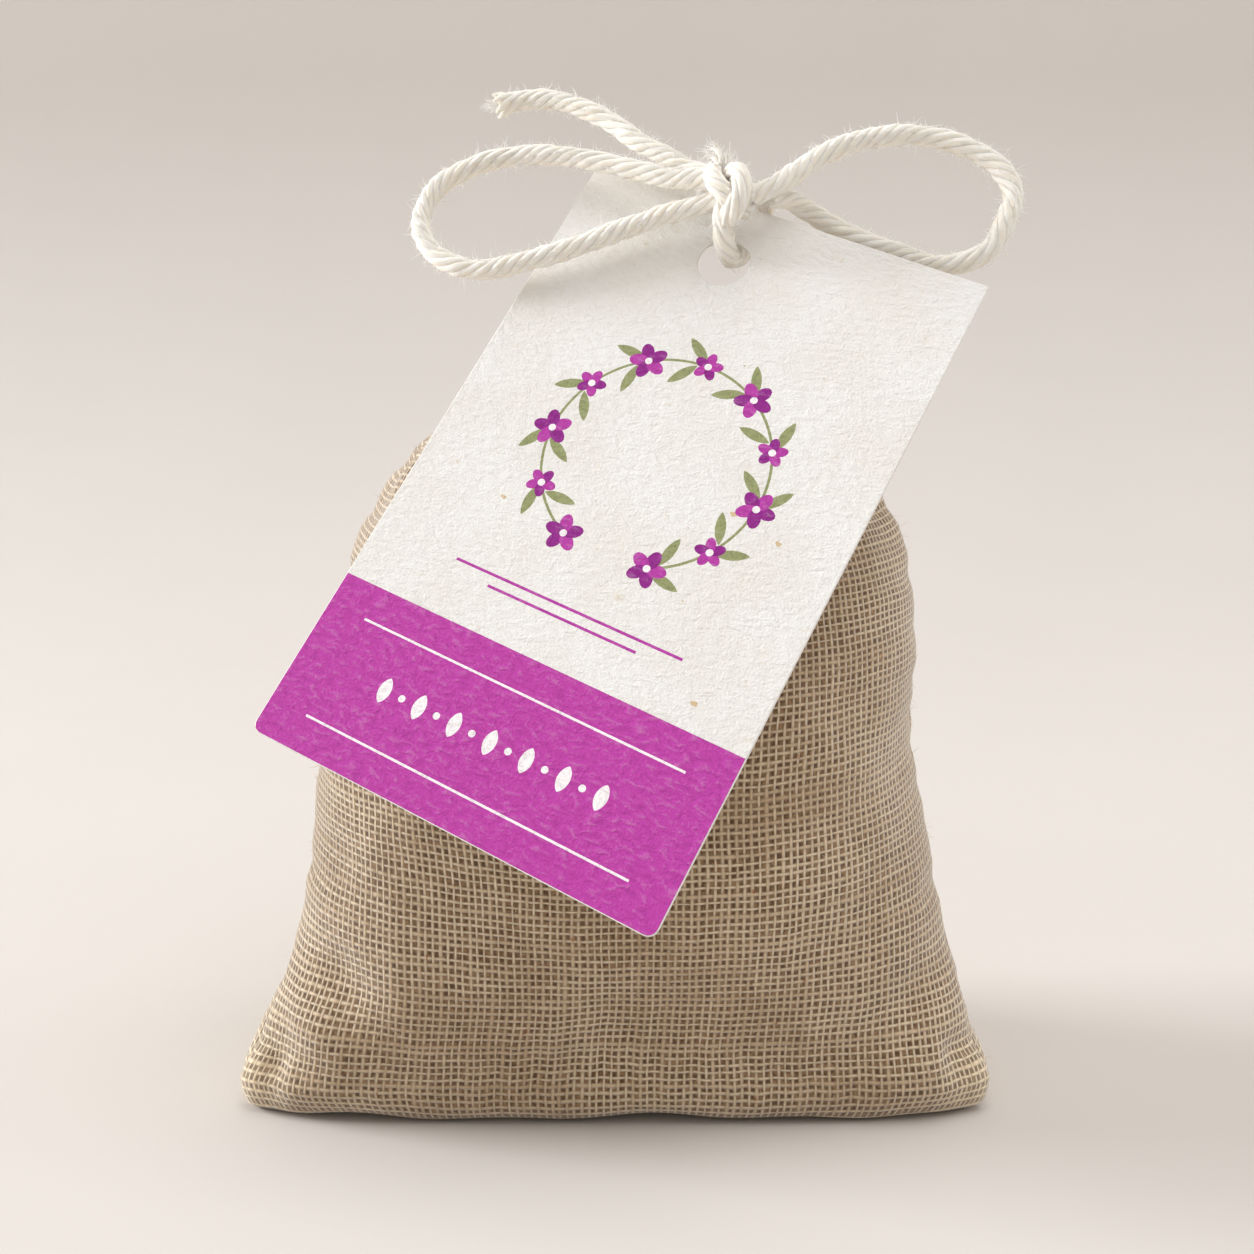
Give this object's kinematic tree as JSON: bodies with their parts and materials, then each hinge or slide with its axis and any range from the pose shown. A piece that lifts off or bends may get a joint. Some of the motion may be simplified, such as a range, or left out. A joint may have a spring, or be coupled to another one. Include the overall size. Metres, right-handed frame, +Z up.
{
  "type": "lavender sachet",
  "caption": "Small gathered linen sachet of dried lavender, its neck tied with cotton twine in a bow that holds a flecked card tag across the front.",
  "frame": {"origin": "on the flat base of the pouch, near the middle of its footprint, at the level of the surface it stands on", "axes": "+Z up out of the base, -Y towards the front with the card tag, +X to the right as seen from the front"},
  "size_m": [0.0912, 0.0657, 0.121],
  "materials": {
    "linen": "matte",
    "buds": "matte",
    "sewing_thread": "matte",
    "cotton_twine": "matte",
    "flecked_card": "matte"
  },
  "bodies": {
    "pouch": {"front_panel": "linen", "back_panel": "linen", "lavender_fill": "buds", "left_seam_thread": "sewing_thread", "right_seam_thread": "sewing_thread", "bottom_seam_thread": "sewing_thread", "hem_thread": "sewing_thread", "neck_winding": "cotton_twine", "left_neck_strand": "cotton_twine", "right_neck_strand": "cotton_twine"},
    "bow": {"bow_knot": "cotton_twine", "left_bow_loop": "cotton_twine", "right_bow_loop": "cotton_twine", "long_tail": "cotton_twine", "short_tail": "cotton_twine", "tag_loop": "cotton_twine"},
    "tag": {"tag_card": "flecked_card"}
  },
  "joints": [
    {"name": "bow_swing", "type": "hinge", "parent": "pouch", "child": "bow", "pos_m": [0.01469, 0.00872, 0.10728], "axis": [-0.866, 0.3658, 0.341], "range_deg": [0, 90]},
    {"name": "tag_swivel", "type": "hinge", "parent": "bow", "child": "tag", "pos_m": [0.01293, 0.00285, 0.09753], "axis": [-0.1732, -0.859, 0.4817], "range_deg": [-10, 10]}
  ]
}
